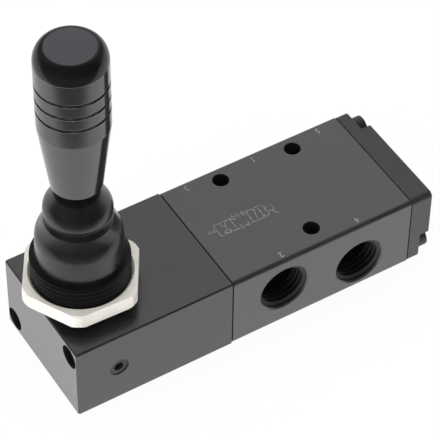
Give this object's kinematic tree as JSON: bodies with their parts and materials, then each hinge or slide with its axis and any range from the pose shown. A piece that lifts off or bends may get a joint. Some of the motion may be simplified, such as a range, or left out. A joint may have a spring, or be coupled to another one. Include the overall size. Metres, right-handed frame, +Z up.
{
  "type": "hand lever air valve",
  "caption": "Black hand lever air valve: slim rectangular body with threaded ports, upright handle in a rubber boot and a hexagon panel nut.",
  "frame": {"origin": "middle of the underside of the housing (control block, body and end cap)", "axes": "+X from the lever's end to the end cap, +Y from the side with two ports to the side with three, +Z up along the lever"},
  "size_m": [0.1051, 0.035, 0.1012],
  "materials": {
    "black_anodised": "satin black anodised",
    "nitrile": "matt",
    "black_steel": "black oxide",
    "plain_aluminium": "fine turned",
    "brass": "turned",
    "steel": "ground",
    "neck_black": "black anodised thread",
    "nickel": "satin nickel plate",
    "boot_rubber": "satin",
    "grip_black": "satin black, fine turned",
    "cap_black": "gloss"
  },
  "bodies": {
    "housing": {"control_block": "black_anodised", "valve_body": "black_anodised", "end_cap": "black_anodised", "block_gasket": "nitrile", "end_cap_gasket": "nitrile", "block_screws": "black_steel", "end_cap_screws": "black_steel", "lever_side_bushing": "brass", "cap_side_bushing": "brass", "lever_side_rod_seal": "nitrile", "cap_side_rod_seal": "nitrile", "detent_ball": "steel", "detent_spring": "steel", "detent_set_screw": "black_steel", "threaded_neck": "neck_black", "neck_seal": "nitrile", "panel_nut": "nickel", "pivot_pin": "steel", "rubber_boot": "boot_rubber"},
    "spool_train": {"spool": "plain_aluminium", "spool_seals": "nitrile", "actuator_rod": "steel", "coupling_pin": "steel"},
    "lever": {"lever_shaft": "steel", "handle_grip": "grip_black", "handle_cap": "cap_black"}
  },
  "joints": [
    {"name": "lever_swing", "type": "hinge", "parent": "housing", "child": "lever", "pos_m": [-0.03905, 0, 0.0238], "axis": [0, 1, 0], "range_deg": [-13.55, 13.55], "deforming": ["rubber_boot"]},
    {"name": "spool_slide", "type": "slide", "parent": "housing", "child": "spool_train", "axis": [1, 0, 0], "range_m": [-0.003, 0.003]}
  ],
  "couplings": [
    {"joint": "spool_slide", "follows": "lever_swing", "m_per_rad": -0.012681}
  ]
}
